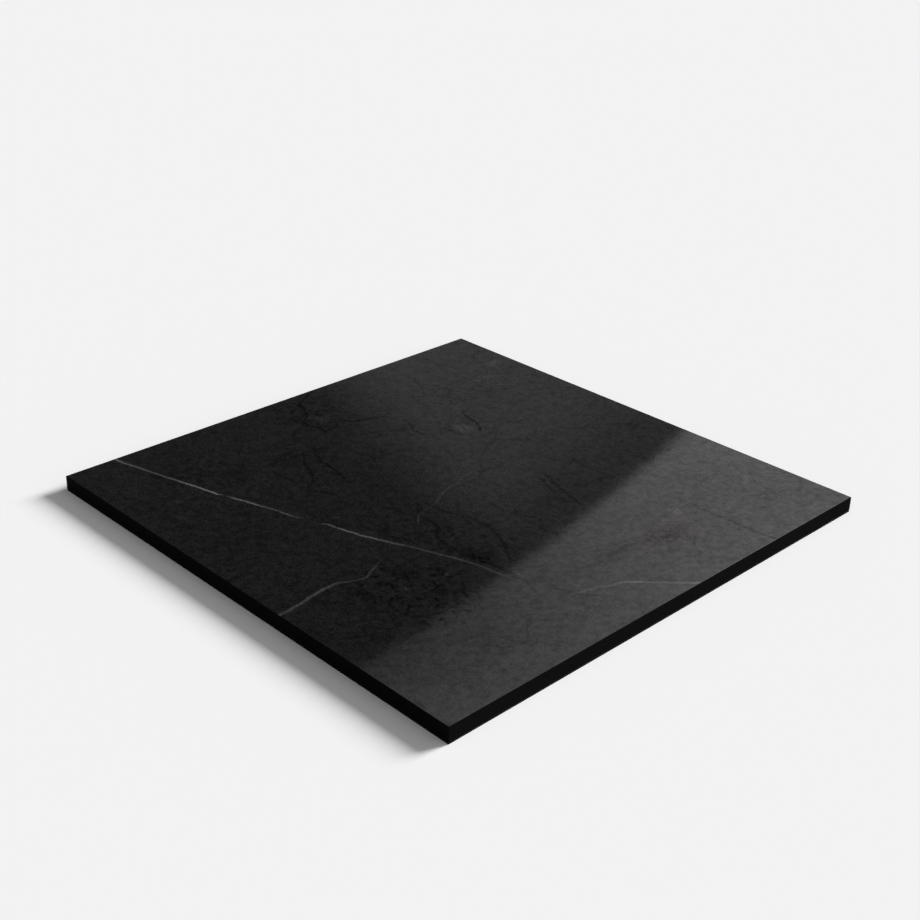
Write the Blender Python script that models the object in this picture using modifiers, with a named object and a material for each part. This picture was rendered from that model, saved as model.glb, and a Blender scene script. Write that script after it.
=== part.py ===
"""Stone work slab for a leatherworking bench: a thin square plate on an anti-slip backing.

Metres, +Z up. The origin is on the bench top, under the middle of the slab, and the
slab's sides run along X and Y.
"""

import math

import bmesh
import bpy

# Driving dimensions
SLAB_SIDE = 0.305
SLAB_THICKNESS = 0.008
SLAB_ARRIS = 0.0004  # the sawn edges are only eased with a stone
BACKING_THICKNESS = 0.0007
BACKING_INSET = 0.0001  # trimmed this much short of the slab's sides
BACKING_EDGE_ROUND = 0.0001
ADHESIVE_GAP = 0.0003  # left clear for the backing's adhesive film

ARRIS_SEGMENTS = 2
SHARP_ANGLE = math.radians(35)

# Sizes that follow
SLAB_BOTTOM = BACKING_THICKNESS + ADHESIVE_GAP
BACKING_SIDE = SLAB_SIDE - 2 * BACKING_INSET


def clear_scene():
    """Remove every object that the file opened with."""
    for old in list(bpy.data.objects):
        bpy.data.objects.remove(old, do_unlink=True)


def make_collection(name):
    """Add a collection to the scene and return it."""
    collection = bpy.data.collections.new(name)
    bpy.context.scene.collection.children.link(collection)
    return collection


def make_material(name, colour, roughness, metallic=0.0):
    """A plain Principled material."""
    material = bpy.data.materials.new(name)
    material.use_nodes = True
    shader = material.node_tree.nodes["Principled BSDF"]
    shader.inputs["Base Color"].default_value = (*colour, 1.0)
    shader.inputs["Roughness"].default_value = roughness
    shader.inputs["Metallic"].default_value = metallic
    return material


def make_plate(collection, name, side, thickness, bottom, material):
    """A square plate that stands on the height called bottom."""
    shape = bmesh.new()
    bmesh.ops.create_cube(shape, size=1.0)
    bmesh.ops.scale(shape, vec=(side, side, thickness), verts=shape.verts)
    mesh = bpy.data.meshes.new(name)
    shape.to_mesh(mesh)
    shape.free()
    mesh.materials.append(material)
    plate = bpy.data.objects.new(name, mesh)
    plate.location = (0.0, 0.0, bottom + thickness / 2)
    collection.objects.link(plate)
    return plate


def ease_edges(plate, width):
    """Round the plate's sharp edges."""
    bevel = plate.modifiers.new("eased_edges", "BEVEL")
    bevel.width = width
    bevel.segments = ARRIS_SEGMENTS
    bevel.limit_method = "ANGLE"
    bevel.angle_limit = SHARP_ANGLE


def make_slab(collection):
    """The stone: one square plate, sawn to size from a thin sheet."""
    stone = make_material("black_stone", colour=(0.012, 0.012, 0.013), roughness=0.15)
    slab = make_plate(collection, "granite_slab", SLAB_SIDE, SLAB_THICKNESS, SLAB_BOTTOM, stone)
    ease_edges(slab, SLAB_ARRIS)


def make_backing(collection):
    """The backing: one sheet of black rubber, stuck over the whole underside of the stone and trimmed."""
    rubber = make_material("black_rubber", colour=(0.02, 0.02, 0.02), roughness=0.85)
    backing = make_plate(collection, "anti_slip_backing", BACKING_SIDE, BACKING_THICKNESS, 0.0, rubber)
    ease_edges(backing, BACKING_EDGE_ROUND)


clear_scene()
work_slab_parts = make_collection("stone_work_slab")
make_slab(work_slab_parts)
make_backing(work_slab_parts)
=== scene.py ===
"""A stone work slab for leather, lying on a white floor."""

import math

import bmesh
import bpy
from mathutils import Euler, Matrix, Vector


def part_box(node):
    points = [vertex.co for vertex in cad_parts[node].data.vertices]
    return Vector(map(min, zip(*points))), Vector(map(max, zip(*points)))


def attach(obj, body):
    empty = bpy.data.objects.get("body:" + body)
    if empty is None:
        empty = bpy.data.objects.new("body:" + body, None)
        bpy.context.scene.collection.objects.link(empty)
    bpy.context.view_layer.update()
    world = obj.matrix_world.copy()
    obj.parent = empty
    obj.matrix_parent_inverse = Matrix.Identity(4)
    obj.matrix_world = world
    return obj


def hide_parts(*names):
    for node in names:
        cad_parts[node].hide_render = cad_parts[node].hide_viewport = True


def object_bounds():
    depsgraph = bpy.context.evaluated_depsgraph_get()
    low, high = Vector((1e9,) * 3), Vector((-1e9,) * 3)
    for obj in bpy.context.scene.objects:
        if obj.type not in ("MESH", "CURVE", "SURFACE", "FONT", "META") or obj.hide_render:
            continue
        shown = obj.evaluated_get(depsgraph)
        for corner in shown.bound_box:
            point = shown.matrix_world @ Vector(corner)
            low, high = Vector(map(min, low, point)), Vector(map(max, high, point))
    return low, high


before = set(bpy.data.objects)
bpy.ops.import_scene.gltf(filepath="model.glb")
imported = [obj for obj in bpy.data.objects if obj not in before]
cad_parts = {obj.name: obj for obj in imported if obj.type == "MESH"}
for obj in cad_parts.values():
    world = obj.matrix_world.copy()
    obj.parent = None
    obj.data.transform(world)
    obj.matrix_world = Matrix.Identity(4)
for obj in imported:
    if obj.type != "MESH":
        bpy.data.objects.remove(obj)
cad_low, cad_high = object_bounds()
slab_side = cad_high[0] - cad_low[0]


# ---------------------------------------------------------------- camera
# Looks down on the slab across its front right corner, a little to the left of its middle
# and a little tilted, from just under three slab sides away.
camera_data = bpy.data.cameras.new("camera")
camera_data.sensor_width = 36.0
camera_data.lens = 57.5
camera_data.shift_x = 0.032
camera_data.shift_y = 0.0017
camera = bpy.data.objects.new("camera", camera_data)
bpy.context.scene.collection.objects.link(camera)
bpy.context.scene.camera = camera

view_azimuth = math.radians(46.32)
view_elevation = math.radians(26.91)
view_roll = math.radians(0.93)
view_distance = 2.795 * slab_side
view_target = Vector((-0.145 * slab_side, 0.073 * slab_side, 0.0))

camera_turn = Euler((math.pi / 2 - view_elevation, 0.0, view_azimuth)).to_matrix()
camera_turn = camera_turn @ Matrix.Rotation(view_roll, 3, "Z")
camera_place = view_target + camera_turn @ Vector((0.0, 0.0, view_distance))
camera.matrix_world = Matrix.Translation(camera_place) @ camera_turn.to_4x4()
bpy.context.scene.view_settings.view_transform = "Standard"


# ---------------------------------------------------------------- studio
# A white floor without an end, a broad lamp low behind the slab, and a dim room. The polished
# stone mirrors the room, which holds a bright card, a pale wall and two faint cards further round.
class Wire:
    """An output in a node tree. Sums on it add Math nodes."""

    def __init__(self, tree, socket=None):
        self.tree = tree
        self.socket = socket

    def node(self, kind, settings, sockets, output=0):
        """Adds a node, makes its settings, fills its sockets and returns one of its outputs."""
        made = self.tree.nodes.new(kind)
        for name, value in settings.items():
            if name == "stops":
                ramp = made.color_ramp
                ramp.interpolation = "B_SPLINE"
                while len(ramp.elements) < len(value):
                    ramp.elements.new(0.5)
                for element, (position, colour) in zip(ramp.elements, value):
                    element.position = position
                    element.color = (*colour, 1.0)
            else:
                setattr(made, name, value)
        for name, value in sockets.items():
            if isinstance(value, Wire):
                self.tree.links.new(value.socket, made.inputs[name])
            else:
                made.inputs[name].default_value = value
        return Wire(self.tree, made.outputs[output])

    def maths(self, operation, *values):
        return self.node("ShaderNodeMath", {"operation": operation}, dict(enumerate(values)))

    def __add__(self, other):
        return self.maths("ADD", self, other)

    def __radd__(self, other):
        return self.maths("ADD", other, self)

    def __sub__(self, other):
        return self.maths("SUBTRACT", self, other)

    def __rsub__(self, other):
        return self.maths("SUBTRACT", other, self)

    def __mul__(self, other):
        return self.maths("MULTIPLY", self, other)

    def __rmul__(self, other):
        return self.maths("MULTIPLY", other, self)

    def __truediv__(self, other):
        return self.maths("DIVIDE", self, other)

    def __abs__(self):
        return self.maths("ABSOLUTE", self)

    def most(self, other):
        return self.maths("MAXIMUM", self, other)

    def least(self, other):
        return self.maths("MINIMUM", self, other)

    def step(self, start, end):
        """Rises smoothly from 0 at start to 1 at end."""
        span = {"Value": self, "From Min": start, "From Max": end}
        return self.node("ShaderNodeMapRange", {"interpolation_type": "SMOOTHSTEP"}, span)

    def mix(self, low, high):
        """A number that goes from low to high as this wire goes from 0 to 1."""
        return self.node("ShaderNodeMix", {"data_type": "FLOAT"}, {0: self, 2: low, 3: high})

    def between(self, colour_low, colour_high):
        """A colour that goes from the first to the second as this wire goes from 0 to 1."""
        ends = {0: self, 6: colour_low, 7: colour_high}
        return self.node("ShaderNodeMix", {"data_type": "RGBA"}, ends, output=2)


def grey(value):
    return (value, value, value, 1.0)


def compass(azimuth, elevation):
    """The direction at these degrees, from +Y towards +X, and up."""
    a, e = math.radians(azimuth), math.radians(elevation)
    return Vector((math.sin(a) * math.cos(e), math.cos(a) * math.cos(e), math.sin(e)))


def piece_from(shape, name):
    """Makes a finished shape into an object of this name."""
    mesh = bpy.data.meshes.new(name)
    shape.to_mesh(mesh)
    shape.free()
    piece = bpy.data.objects.new(name, mesh)
    bpy.context.scene.collection.objects.link(piece)
    return piece


floor_reach = 6.0
floor_white = grey(0.802)
floor_shape = bmesh.new()
bmesh.ops.create_grid(floor_shape, x_segments=8, y_segments=8, size=floor_reach)
floor = piece_from(floor_shape, "floor")
floor_paint = bpy.data.materials.new("floor_paint")
floor_paint.use_nodes = True
floor_shader = floor_paint.node_tree.nodes["Principled BSDF"]
floor_shader.inputs["Base Color"].default_value = floor_white
floor_shader.inputs["Roughness"].default_value = 1.0
floor_shader.inputs["Specular IOR Level"].default_value = 0.0
floor.data.materials.append(floor_paint)

lamp_towards = compass(14, 25.4)
lamp_data = bpy.data.lights.new("broad_lamp", "SUN")
lamp_data.energy = 5.755
lamp_data.angle = math.radians(22)
lamp = bpy.data.objects.new("broad_lamp", lamp_data)
bpy.context.scene.collection.objects.link(lamp)
lamp.rotation_euler = lamp_towards.to_track_quat("Z", "Y").to_euler()
lamp.visible_glossy = False

room = bpy.data.worlds.new("room")
bpy.context.scene.world = room
room.use_nodes = True
room_wires = Wire(room.node_tree)
looking = room_wires.node("ShaderNodeTexCoord", {}, {}, output="Generated")


def towards(normal):
    """How far the looking direction leans towards this one, from -1 to 1."""
    settings = {"operation": "DOT_PRODUCT"}
    return looking.node("ShaderNodeVectorMath", settings, {0: looking, 1: normal}, output="Value")


def past(first, second):
    """How far the looking direction is past the great circle from one direction to another."""
    return towards(compass(*first).cross(compass(*second)).normalized())


# The bright card stands on edge, slightly bowed, and glows most low down and away from its edge.
card_edge = (-35.0, 25.0), (-50.4, 36.0)
card_middle, card_bow, card_shift = 0.488, 1.3, -0.0018
card_end = compass(60, 20)
up = towards((0.0, 0.0, 1.0))
bow = (up - card_middle) * (up - card_middle) * card_bow + card_shift
past_card_edge = past(*card_edge) + bow
card = past_card_edge.step(-0.0035, 0.0035) * (1 - towards(card_end).step(0.5, 0.9))
low_card = 1 - up.step(0.446, 0.580)
card_slope = 5.6 - low_card * low_card * low_card * 4.6
card_glow = 0.25 + low_card * 0.46 + past_card_edge.least(0.1).most(0.0) * card_slope

# The wall is paler than the room, and dimmer where it nears the card.
wall_edge = (-50.3, 24.5), (-40.5, 33.7)
wall_glow, wall_dimming = 0.17, 0.62
wall = past(*wall_edge).step(-0.022, 0.048) * (1 - past_card_edge.step(-0.07, -0.003) * wall_dimming)

# The polish mirrors all of this. Dull surfaces get a soft light instead, mostly from the right.
room_dark = 0.07
room_strength = 1.15
shade_light, right_light = 0.06, 0.70
backdrop_white = 0.896
back_card = towards(compass(150, 38)).step(0.80, 0.98) * 0.25
left_card = towards(compass(-125, 34)).step(0.90, 0.99) * 0.12
outside = room_dark + wall * wall_glow + back_card + left_card
mirrored = (outside + card * (card_glow - outside)) * room_strength
side_air = shade_light + towards((1.0, 0.0, 0.0)).step(-0.5, 0.9) * right_light
camera_ray = room_wires.node("ShaderNodeLightPath", {}, {}, output="Is Camera Ray")
glossy_ray = Wire(room.node_tree, camera_ray.socket.node.outputs["Is Glossy Ray"])
lit = glossy_ray.mix(side_air, mirrored)
seen = camera_ray.mix(lit, backdrop_white)
room.node_tree.links.new(seen.socket, room.node_tree.nodes["Background"].inputs["Color"])


# ---------------------------------------------------------------- slab
# One plate of fine black stone, sawn from a thin sheet. The top is polished, the sides and the
# back are as the saw left them, and the edges are only eased with a stone.
def block(low, high):
    """A rectangular block between two corners."""
    shape = bmesh.new()
    bmesh.ops.create_cube(shape, size=1.0)
    bmesh.ops.scale(shape, vec=high - low, verts=shape.verts)
    bmesh.ops.translate(shape, vec=(low + high) / 2, verts=shape.verts)
    return shape


def ease(shape, edges, width, segments):
    """Rounds edges over this width."""
    bmesh.ops.bevel(
        shape, geom=edges, offset=width, segments=segments, profile=0.5, affect="EDGES", material=-1
    )


stone_low, stone_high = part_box("granite_slab")
arris = 0.0004
slab_shape = block(stone_low, stone_high)
ease(slab_shape, slab_shape.edges, arris, 4)
top_slot, side_slot, back_slot = 0, 1, 2
square_on = 0.999
for face in slab_shape.faces:
    face.smooth = max(abs(face.normal.x), abs(face.normal.y), abs(face.normal.z)) <= square_on
    face.material_index = side_slot
    if abs(face.normal.z) > square_on:
        face.material_index = top_slot if face.normal.z > 0 else back_slot
slab = piece_from(slab_shape, "stone_slab")


def scaled(place, factor):
    """A place or a push, made longer by a factor."""
    return place.node("ShaderNodeVectorMath", {"operation": "SCALE"}, {0: place, "Scale": factor})


def stretched(place, factors):
    """The place, with each coordinate multiplied by its own factor."""
    return place.node("ShaderNodeVectorMath", {"operation": "MULTIPLY"}, {0: place, 1: factors})


def new_finish(name):
    """A material, its shader, and the place on the slab in millimetres."""
    material = bpy.data.materials.new(name)
    material.use_nodes = True
    millimetres = 1000.0
    place = Wire(material.node_tree).node("ShaderNodeTexCoord", {}, {}, output="Object")
    return material, material.node_tree.nodes["Principled BSDF"], scaled(place, millimetres)


def fill(shader, **sockets):
    """Sets or links sockets of a shader, named with _ for a space."""
    for name, value in sockets.items():
        socket = shader.inputs[name.replace("_", " ")]
        if isinstance(value, Wire):
            value.tree.links.new(value.socket, socket)
        else:
            socket.default_value = value


def noise(place, size, detail=2.0, output="Fac"):
    """Soft noise whose lumps are about this many millimetres across."""
    settings = {"noise_dimensions": "3D"}
    sockets = {"Vector": place, "Scale": 1.0 / size, "Detail": detail}
    return place.node("ShaderNodeTexNoise", settings, sockets, output=output)


def warped(place, size, reach):
    """The place, pushed about by up to half of reach millimetres."""
    push = noise(place, size, output="Color")
    push = place.node("ShaderNodeVectorMath", {"operation": "SUBTRACT"}, {0: push, 1: (0.5, 0.5, 0.5)})
    return place.node("ShaderNodeVectorMath", {"operation": "ADD"}, {0: place, 1: scaled(push, reach)})


def streak(along, across, stops):
    """A thin smooth line through stops of (along, across, strength, width), in millimetres."""
    run_out = 0.5
    before = (stops[0][0] - run_out, *stops[0][1:])
    after = (stops[-1][0] + run_out, *stops[-1][1:])
    stops = [before, *stops, after]
    first, last = stops[0][0], stops[-1][0]
    low = min(stop[1] for stop in stops)
    span = max(stop[1] for stop in stops) - low + 0.001
    widest = max(stop[3] for stop in stops)
    ramp_stops = [
        ((at - first) / (last - first), ((off - low) / span, strength, width / widest))
        for at, off, strength, width in stops
    ]
    share = (along - first) / (last - first)
    ramp = along.node("ShaderNodeValToRGB", {"stops": ramp_stops}, {"Fac": share})
    centre = along.node("ShaderNodeSeparateColor", {}, {"Color": ramp}, output="Red")
    strength = Wire(along.tree, centre.socket.node.outputs["Green"])
    width = Wire(along.tree, centre.socket.node.outputs["Blue"])
    off = abs(across - (centre * span + low)) / (width * widest)
    return strength * (1 - off.step(0.2, 0.8))


def patch(x, y, centre, reach, blur=0.5):
    """An oval patch round a centre, with half sizes reach, in millimetres."""
    across = (x - centre[0]) / reach[0]
    along = (y - centre[1]) / reach[1]
    return 1 - (across * across + along * along).step(1 - blur, 1 + blur)


def crack(along, across, strength, width, points):
    """A streak through points of (along, across), even all the way and faded out at its ends."""
    fade = 1.5
    first, last = points[0], points[-1]
    stops = [(first[0] - fade, first[1], 0.0, width)]
    stops += [(at, off, strength, width) for at, off in points]
    stops.append((last[0] + fade, last[1], 0.0, width))
    return streak(along, across, stops)


def xy(place):
    """The first two coordinates of a place."""
    x = place.node("ShaderNodeSeparateXYZ", {}, {0: place}, output="X")
    return x, Wire(place.tree, x.socket.node.outputs["Y"])


polished, shader, place = new_finish("polished_black_stone")
x, y = xy(warped(place, 5.0, 1.2))

# White veins of calcite, through stops of (along, across, strength, width).
main_vein = streak(x, y, [
    (-153, -122, 0.7, 1.5), (-136, -118, 0.4, 1.5), (-112, -111, 0.4, 1.4), (-96, -107, 0.9, 1.4),
    (-79, -102, 1.4, 1.4), (-77.5, -101.5, 0.0, 1.0), (-75, -100.7, 0.0, 1.0), (-72, -99.7, 0.4, 1.2),
    (-64, -97, 0.8, 1.6), (-48, -91.5, 0.3, 1.5), (-31, -86.7, 0.4, 1.3), (-28, -85.8, 0.0, 1.3),
    (-18, -82, 0.0, 1.3), (-15, -81, 0.5, 1.4), (8, -73, 0.65, 1.5), (19, -69, 0.5, 1.6),
    (30, -64, 0.12, 1.5), (49, -56, 0.28, 1.6), (64, -51, 0.14, 1.5), (80, -48, 0.2, 1.2),
    (90, -47, 0.0, 1.2),
])
front_vein = streak(y, x, [
    (-153, 38, 0.3, 1.7), (-135, 35.5, 0.25, 1.7), (-124, 33.5, 0.42, 1.7), (-115, 33, 0.25, 1.6),
    (-110, 35.5, 0.28, 1.6), (-105, 37.5, 0.03, 1.4), (-100, 39.5, 0.22, 1.4), (-95, 37, 0.28, 1.5),
    (-85, 32, 0.06, 1.5), (-80, 30, 0.0, 1.4),
])
middle_vein = streak(y, x, [
    (-45, 18, 0.0, 1.6), (-41, 13, 0.2, 1.6), (-35, 8, 0.02, 1.5), (-27, 8, 0.05, 1.5),
    (-22, 6.5, 0.14, 1.5), (-16, 3, 0.05, 1.5), (-10, -0.5, 0.2, 1.5), (-1, -2, 0.03, 1.5),
    (4, -2.5, 0.1, 1.5), (10, -5.5, 0.03, 1.6), (22, -7, 0.07, 1.5), (34, -9, 0.0, 1.5),
])
right_vein = streak(y, x, [
    (-35, 116.5, 0.0, 1.8), (-31, 118.5, 0.25, 1.9), (-20, 121, 0.18, 1.8), (-17, 124, 0.08, 1.4),
    (-10, 125, 0.3, 1.5), (-4, 130, 0.65, 2.0), (2, 136, 0.35, 1.9), (12, 146, 0.4, 2.0),
    (19, 153, 0.45, 2.2),
])
veins = main_vein.most(front_vein).most(middle_vein).most(right_vein)

# Pale smears and knots, like the veins but short and frayed.
frayed_x, frayed_y = xy(warped(warped(place, 7.0, 5.0), 1.8, 2.2))
smears = crack(frayed_y, frayed_x, 0.14, 2.0, [(130, -105), (138, -108), (144, -111)])
for along, across, strength, width, points in [
    (frayed_y, frayed_x, 0.12, 2.0, [(118, -92), (123, -97), (127, -100)]),
    (frayed_x, frayed_y, 0.10, 2.4, [(-77, 71), (-68, 69)]),
    (frayed_y, frayed_x, 0.18, 1.8, [(111, 92), (115, 84), (119, 76)]),
    (frayed_y, frayed_x, 0.16, 2.0, [(121, 105), (126, 101), (136, 95)]),
    (frayed_x, frayed_y, 0.10, 1.8, [(83, -41), (90, -42)]),
]:
    smears = smears.most(crack(along, across, strength, width, points))
for centre, reach, strength in [
    ((-50, 54), (6, 5), 0.16),
    ((-108, 138), (4, 7), 0.16),
    ((-94, 115), (3, 9), 0.09),
    ((64, -68), (1.8, 1.4), 0.25),
    ((-115, -1), (6, 4), 0.07),
    ((99, 67.5), (4.5, 2.6), 0.30),
    ((-88, -123), (3, 2), 0.09),
    ((-71, -133), (3, 2), 0.08),
    ((60, -92), (2.2, 1.4), 0.10),
]:
    smears = smears.most(patch(frayed_x, frayed_y, centre, reach, 0.8) * strength)
smears = smears * (0.2 + noise(place, 1.5, 3.0).step(0.35, 0.65) * 0.9)

# Dark fissures, filled with grit that takes no polish.
ragged = warped(warped(place, 7.0, 3.5), 1.6, 2.6)
ragged_x, ragged_y = xy(ragged)
fissures = crack(ragged_x, ragged_y, 1.0, 2.6, [
    (-153, 22), (-148, 16), (-145, 11), (-143, 4.5), (-139, 2), (-132, 0.5), (-124, -4),
    (-121, -10), (-117, -13), (-112, -10.5), (-108, -9), (-100, -9),
])
for along, across, strength, width, points in [
    (ragged_y, ragged_x, 0.8, 2.4, [
        (-10, -101), (-5, -102), (0, -101), (2, -104), (4, -107), (8, -105), (11, -102.5),
        (19, -97.5), (24, -95.5), (31, -93),
    ]),
    (ragged_x, ragged_y, 0.35, 3.2, [(-127, 18), (-122, 12), (-116, 9), (-106, 9)]),
    (ragged_x, ragged_y, 0.35, 3.0, [(-146, 27), (-140, 22), (-130, 21)]),
    (ragged_x, ragged_y, 0.75, 1.9, [(-90, -27), (-84, -32), (-74, -35.5), (-58, -37.5), (-44, -40.5)]),
    (ragged_y, ragged_x, 0.55, 2.2, [(-47, -83), (-42, -88), (-36, -87.5), (-30, -86)]),
    (ragged_x, ragged_y, 0.8, 2.2, [(-88, -36), (-81, -42), (-71, -48), (-58, -52), (-50, -66)]),
    (ragged_x, ragged_y, 0.7, 2.4, [(-50, -65), (-43, -58), (-32, -54.5)]),
    (ragged_x, ragged_y, 0.50, 1.8, [(-80, -64), (-62, -63)]),
    (ragged_x, ragged_y, 0.75, 1.8, [(-83, 37), (-74, 35), (-69, 30), (-58, 31.5)]),
    (ragged_x, ragged_y, 1.0, 2.2, [
        (-67, 71.5), (-62, 68), (-57, 66), (-51, 66), (-45, 63.5), (-40, 58),
    ]),
    (ragged_x, ragged_y, 0.7, 1.8, [(-58, 47), (-53, 46.5), (-44, 48.5)]),
    (ragged_y, ragged_x, 0.40, 2.0, [(46, -57), (51, -61), (56, -60)]),
    (ragged_x, ragged_y, 0.55, 2.2, [(-49, 3), (-42, 5), (-34, 4)]),
    (ragged_x, ragged_y, 0.75, 1.8, [(20, 48), (32, 43), (48, 38.5), (61, 35)]),
    (ragged_x, ragged_y, 0.6, 1.8, [(24, 42), (36, 36.5), (50, 32)]),
    (ragged_x, ragged_y, 0.55, 1.8, [(25, 1), (36, -1)]),
    (ragged_x, ragged_y, 0.45, 2.0, [(41, 1.5), (50, 5.5), (57, 7)]),
    (ragged_x, ragged_y, 0.75, 2.3, [
        (3, -25.5), (10, -25.5), (19, -24), (23, -20.5), (33, -18.8), (47, -18.8), (57, -23),
        (67, -29), (76, -37),
    ]),
    (ragged_x, ragged_y, 0.60, 2.3, [(0, -29), (4, -33), (10, -36), (16, -38.5)]),
    (ragged_x, ragged_y, 0.85, 2.8, [(18, -37), (25, -38), (29, -43), (33, -46), (42, -48.5)]),
    (ragged_x, ragged_y, 0.75, 2.6, [(46, -48), (54, -48.5), (62, -48), (72, -44.5), (83, -44)]),
    (ragged_x, ragged_y, 0.50, 2.2, [(48, -46), (56, -41), (66, -40), (74, -38)]),
    (ragged_x, ragged_y, 0.40, 2.4, [(-110, -101), (-103, -95), (-97, -92), (-90, -85), (-82, -83)]),
    (ragged_y, ragged_x, 0.35, 2.6, [(-95, -104), (-88, -103), (-82, -98)]),
    (ragged_x, ragged_y, 0.35, 4.0, [(-78, -138), (-66, -136), (-52, -131)]),
    (ragged_y, ragged_x, 0.35, 5.0, [(-140, -38), (-118, -30), (-97, -21)]),
    (ragged_x, ragged_y, 0.45, 2.0, [(12, -105), (24, -107.5)]),
    (ragged_x, ragged_y, 0.50, 1.8, [(-32, -73), (-21, -74), (-8, -77)]),
    (ragged_y, ragged_x, 0.45, 2.2, [(79, -88), (84, -94), (92, -97)]),
    (ragged_y, ragged_x, 0.45, 2.0, [(103, -87), (108, -89), (114, -93)]),
    (ragged_x, ragged_y, 0.65, 1.7, [(98, 80), (112, 81), (127, 80.5), (144, 82), (153, 83)]),
    (ragged_x, ragged_y, 0.25, 2.2, [(115, 78), (125, 71), (129, 67)]),
    (ragged_y, ragged_x, 0.35, 3.0, [(-10, 105), (6, 104.5), (27, 105), (33, 112), (58, 114)]),
    (ragged_x, ragged_y, 0.35, 2.6, [(96, 136), (106, 128), (123, 123)]),
    (ragged_x, ragged_y, 0.30, 2.6, [(122, 109), (135, 104), (150, 95)]),
    (ragged_x, ragged_y, 0.40, 1.8, [(82, -43), (94, -44), (104, -47)]),
    (ragged_y, ragged_x, 0.40, 3.2, [(-110, 108), (-96, 111), (-84, 118)]),
    (ragged_x, ragged_y, 0.35, 2.2, [(104, -38), (119, -35), (131, -21)]),
]:
    fissures = fissures.most(crack(along, across, strength, width, points))
fissures = fissures * (0.38 + noise(place, 2.2, 3.0).step(0.40, 0.60) * 0.50)

# Dull blots: the biggest dark inclusion, and soft brown ones.
blots = patch(ragged_x, ragged_y, (61, -44.3), (10.5, 4.4), 0.45)
for centre, reach, strength in [
    ((-122, -12), (9, 4), 0.55),
    ((14, 132), (5, 3), 0.5),
    ((110, 44), (8, 16), 0.45),
    ((105, 10), (6, 16), 0.30),
    ((59, -68), (4, 2.5), 0.9),
    ((53, -80), (6, 3), 0.7),
    ((73, -81), (4, 4), 0.6),
    ((45, -87), (5, 2.5), 0.6),
    ((51, -111), (6, 4), 0.7),
    ((38, -112), (4, 4), 0.3),
    ((-90, -80), (10, 6), 0.3),
    ((-8, -62), (6, 3), 0.2),
]:
    blots = blots.most(patch(ragged_x, ragged_y, centre, reach) * strength)
blots = blots * (0.25 + noise(place, 2.4, 3.0).step(0.35, 0.65) * 0.75)
speckled = patch(x, y, (64, -90), (34, 27), 0.8) * 0.8
for centre, reach, strength in [
    ((-122, -2), (28, 20), 0.5),
    ((-72, -48), (34, 20), 0.4),
    ((-55, 58), (26, 18), 0.3),
    ((-92, 88), (18, 28), 0.3),
    ((35, -32), (44, 18), 0.5),
    ((40, 42), (26, 14), 0.3),
    ((-100, -96), (44, 30), 0.45),
    ((-35, -118), (26, 34), 0.35),
    ((112, -105), (34, 34), 0.15),
    ((118, 60), (34, 40), 0.2),
    ((115, 125), (30, 24), 0.12),
]:
    speckled = speckled.most(patch(x, y, centre, reach, 0.9) * strength)
speckles = noise(warped(place, 9.0, 8.0), 4.5, 4.0).step(0.50, 0.66) * speckled

# The ground of the stone: fine crystals, cloudy darker and lighter zones, and a faint dark net.
ground_black, ground_grey = grey(0.0009), grey(0.0082)
fissure_black = grey(0.0004)
net_cell = 26
crystals = noise(place, 1.1, 1.0)
mottle = noise(place, 3.5, 2.0)
clouds = noise(place, 30.0, 3.0)
cells = {"Vector": warped(warped(place, 12.0, 9.0), 3.0, 2.5), "Scale": 1 / net_cell}
net = place.node("ShaderNodeTexVoronoi", {"feature": "DISTANCE_TO_EDGE"}, cells, "Distance")
net = (1 - net.step(0.0, 0.06)) * noise(place, 22.0, 1.0).step(0.42, 0.7) * 0.35
lightness = 0.55 + (crystals - 0.5) * 2.5 + (mottle - 0.5) * 1.5 + (clouds - 0.5) * 0.6
dark = fissures.most(blots).most(speckles).most(net)
ground = dark.between(lightness.between(ground_black, ground_grey), fissure_black)

# Two faint rusty stains on the right, one inside the other.
rust_brown = (0.0108, 0.0038, 0.0073, 1.0)
wide_stain = patch(frayed_x, frayed_y, (112, 62), (34, 44), 0.9) * 0.6
inner_stain = patch(frayed_x, frayed_y, (110, 46), (16, 26), 0.8) * 0.8
ground = (wide_stain.most(inner_stain) * mottle * 1.6).between(ground, rust_brown)

# Calcite lies over the ground in the veins, whole in some places and broken in others.
calcite_white = grey(0.125)
broken = noise(place, 1.6, 2.0).step(0.3, 0.7)
calcite = (veins * (0.65 + broken * 0.6)).most(smears).least(1.0)
base = calcite.between(ground, calcite_white)

# The polish takes best on the light crystals. Dark grit stays dull, and so do faint long drifts
# that show more towards the right.
polish_roughness = 0.045
grit_black, grit_roughness = grey(0.0008), 0.9
least_dull = 0.14
crystal_height = 0.000003
right_part = x.step(10, 90)
drift = noise(stretched(warped(place, 24.0, 26.0), (1.0, 0.3, 1.0)), 3.0, 3.0)
crystal_dulling = (0.5 - crystals) * (0.75 - right_part * 0.33)
drift_dulling = (0.5 - drift) * (0.15 + right_part * 0.35)
dull = dark * 0.6 + crystal_dulling + (0.5 - mottle) * 0.50 + drift_dulling
dull = (dull + least_dull).most(0.0)
relief = {"Height": crystals, "Distance": crystal_height, "Strength": 0.5}
bump = place.node("ShaderNodeBump", {}, relief, "Normal")
fill(shader, Base_Color=base, Roughness=polish_roughness, Normal=bump)
grit_sockets = {"Base Color": grit_black, "Roughness": grit_roughness, "Specular IOR Level": 0.0}
grit = place.node("ShaderNodeBsdfPrincipled", {}, grit_sockets)
clean = Wire(place.tree, shader.outputs[0])
surface = place.node("ShaderNodeMixShader", {}, {0: dull, 1: clean, 2: grit})
place.tree.links.new(surface.socket, place.tree.nodes["Material Output"].inputs["Surface"])

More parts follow.
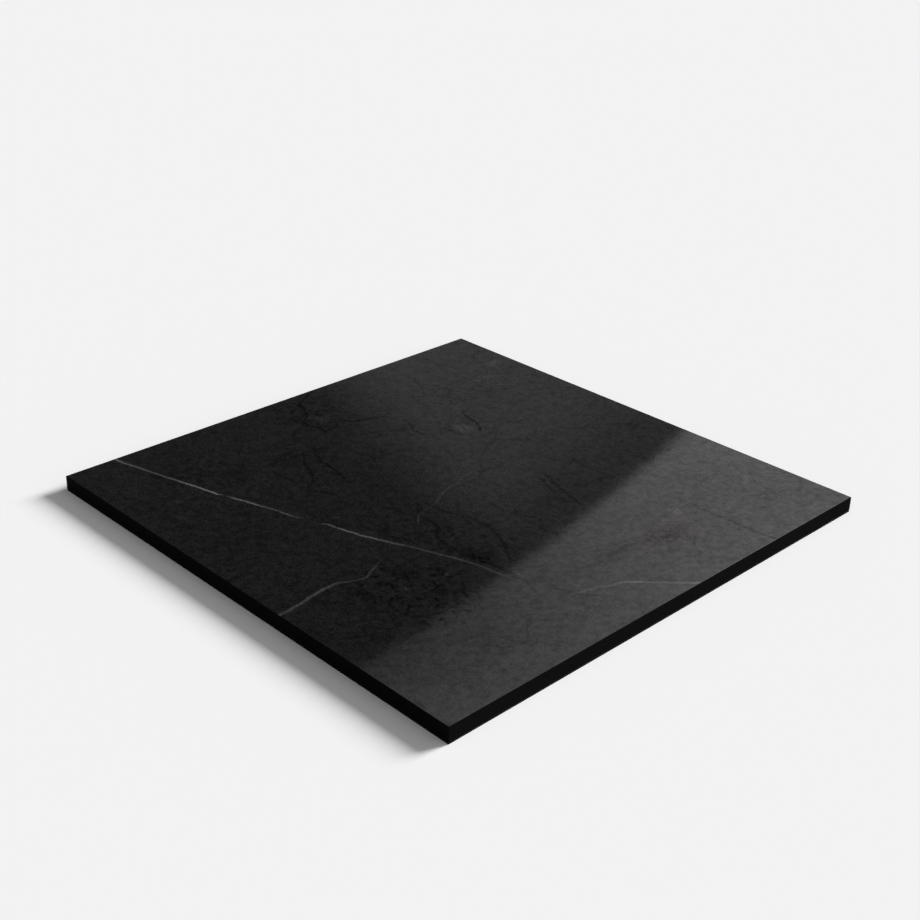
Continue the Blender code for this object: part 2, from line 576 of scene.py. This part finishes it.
# The sides carry the lines of the saw, and the back its coarser marks.
sawn_black, sawn_grey = grey(0.0018), grey(0.0050)
sawn, shader, place = new_finish("sawn_stone_sides")
saw_lines = stretched(place, (0.05, 0.05, 1.0))
sawn_tone = noise(place, 0.9) * 0.6 + noise(saw_lines, 0.5) * 0.6 - 0.1
relief = {"Height": sawn_tone, "Distance": 0.00004, "Strength": 0.5}
bump = place.node("ShaderNodeBump", {}, relief, "Normal")
fill(shader, Base_Color=sawn_tone.between(sawn_black, sawn_grey), Roughness=0.6, Normal=bump)
fill(shader, Specular_IOR_Level=0.005)

back_black, back_grey = grey(0.02), grey(0.045)
rough, shader, place = new_finish("sawn_stone_back")
rough_tone = noise(place, 1.1) * 0.7 + noise(place, 18.0) * 0.3
fill(shader, Base_Color=rough_tone.between(back_black, back_grey), Roughness=0.7)
fill(shader, Specular_IOR_Level=0.3)

for finish in (polished, sawn, rough):
    slab.data.materials.append(finish)
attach(slab, "root")
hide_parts("granite_slab")


# ---------------------------------------------------------------- adhesive film
# A sheet of black double-sided film that holds the backing to the whole underside of the stone.
# It is cut together with the backing, so its sides show only as a thin dark line.
backing_low, backing_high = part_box("anti_slip_backing")
film_slack = Vector((0.0, 0.0, 0.00002))
film_corner = 0.0005
film_black, film_grey = grey(0.004), grey(0.008)
film_low = Vector((backing_low.x, backing_low.y, backing_high.z)) + film_slack
film_high = Vector((backing_high.x, backing_high.y, stone_low.z)) - film_slack
film_shape = block(film_low, film_high)
film_uprights = [edge for edge in film_shape.edges if edge.verts[0].co.xy == edge.verts[1].co.xy]
ease(film_shape, film_uprights, film_corner, 3)
film = piece_from(film_shape, "adhesive_film")
adhesive, shader, place = new_finish("black_adhesive")
tack = noise(place, 5.0)
fill(shader, Base_Color=tack.between(film_black, film_grey), Roughness=0.35 + tack * 0.3)
fill(shader, Specular_IOR_Level=0.05)
film.data.materials.append(adhesive)
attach(film, "root")


# ---------------------------------------------------------------- backing
# One sheet of thin black rubber under the whole stone, so that it neither slides nor marks the
# bench. It is moulded with square studs between shallow grooves, and cut just inside the sides.
stud_pitch = 0.005
groove_width = 0.0012
groove_depth = 0.0002
rubber_black, rubber_grey = grey(0.003), grey(0.009)
backing_side = backing_high.x - backing_low.x
backing_lift = Vector((0.0, 0.0, backing_low.z))
backing_thickness = Vector((0.0, 0.0, backing_high.z - backing_low.z))
groove_lift = Vector((0.0, 0.0, groove_depth))
studs = round(backing_side / stud_pitch)
backing_shape = bmesh.new()
bmesh.ops.create_grid(backing_shape, x_segments=studs, y_segments=studs, size=backing_side / 2)
crossings = [vert for vert in backing_shape.verts if not vert.is_boundary]
underside = backing_shape.faces[:]
upper = bmesh.ops.extrude_face_region(backing_shape, geom=underside, use_keep_orig=True)["geom"]
upper_corners = [part for part in upper if isinstance(part, bmesh.types.BMVert)]
bmesh.ops.translate(backing_shape, vec=backing_thickness, verts=upper_corners)
bmesh.ops.inset_individual(backing_shape, faces=underside, thickness=groove_width / 2)
bmesh.ops.translate(backing_shape, vec=groove_lift, verts=crossings)
bmesh.ops.translate(backing_shape, vec=backing_lift, verts=backing_shape.verts)
bmesh.ops.recalc_face_normals(backing_shape, faces=backing_shape.faces)
backing = piece_from(backing_shape, "rubber_backing")
rubber, shader, place = new_finish("black_rubber_sheet")
bloom = noise(place, 14.0, 3.0)
rubber_tone = bloom * 0.7 + noise(place, 0.6, 1.0) * 0.5
fill(shader, Base_Color=rubber_tone.between(rubber_black, rubber_grey), Roughness=0.75 + bloom * 0.2)
fill(shader, Specular_IOR_Level=0.05)
backing.data.materials.append(rubber)
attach(backing, "root")
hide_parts("anti_slip_backing")
